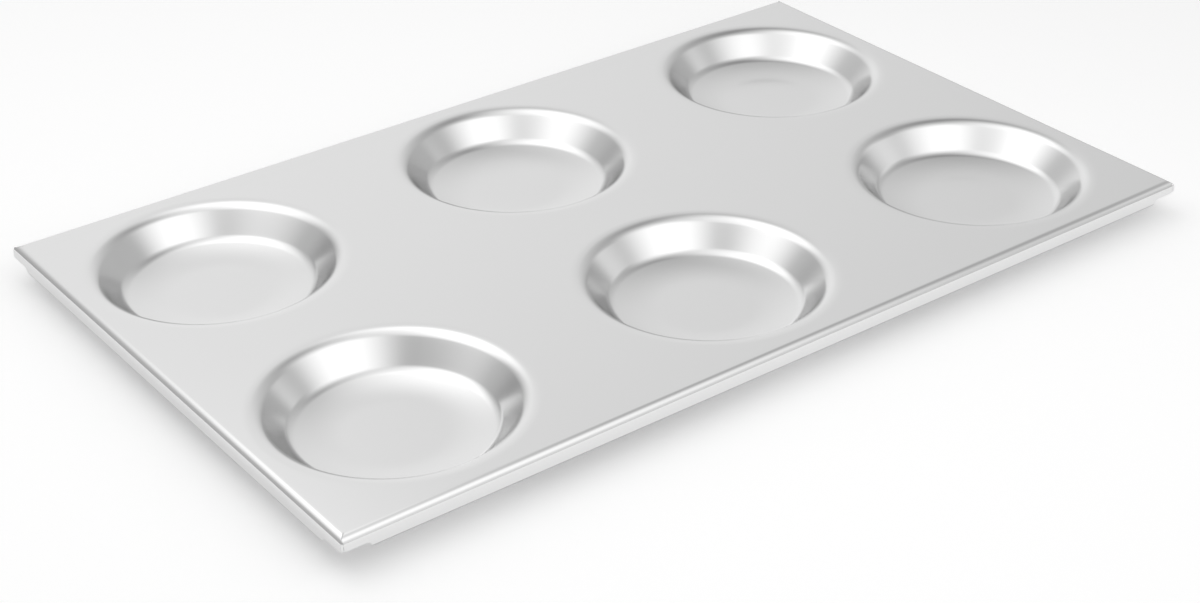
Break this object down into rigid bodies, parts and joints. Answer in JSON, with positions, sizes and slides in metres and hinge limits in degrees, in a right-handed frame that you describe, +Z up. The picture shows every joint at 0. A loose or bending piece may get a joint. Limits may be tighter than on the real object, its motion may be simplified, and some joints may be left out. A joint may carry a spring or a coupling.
{
  "type": "round cavity baking tray",
  "caption": "Flat rectangular aluminium baking tray with shallow round drawn cavities in rows and a short folded-down skirt on every edge.",
  "frame": {"origin": "on the resting plane under the cavity floors, below the middle of the tray", "axes": "+X along the long side, +Y along the short side away from the camera's side, +Z up out of the cavities"},
  "size_m": [0.53, 0.325, 0.02],
  "materials": {
    "sheet": "satin, rolled sheet with fine straight grain"
  },
  "bodies": {
    "root": {"deck_sheet": "sheet", "cup_front_left": "sheet", "cup_front_middle": "sheet", "cup_front_right": "sheet", "cup_rear_left": "sheet", "cup_rear_middle": "sheet", "cup_rear_right": "sheet", "skirt_front": "sheet", "skirt_rear": "sheet", "skirt_left": "sheet", "skirt_right": "sheet"}
  },
  "joints": []
}
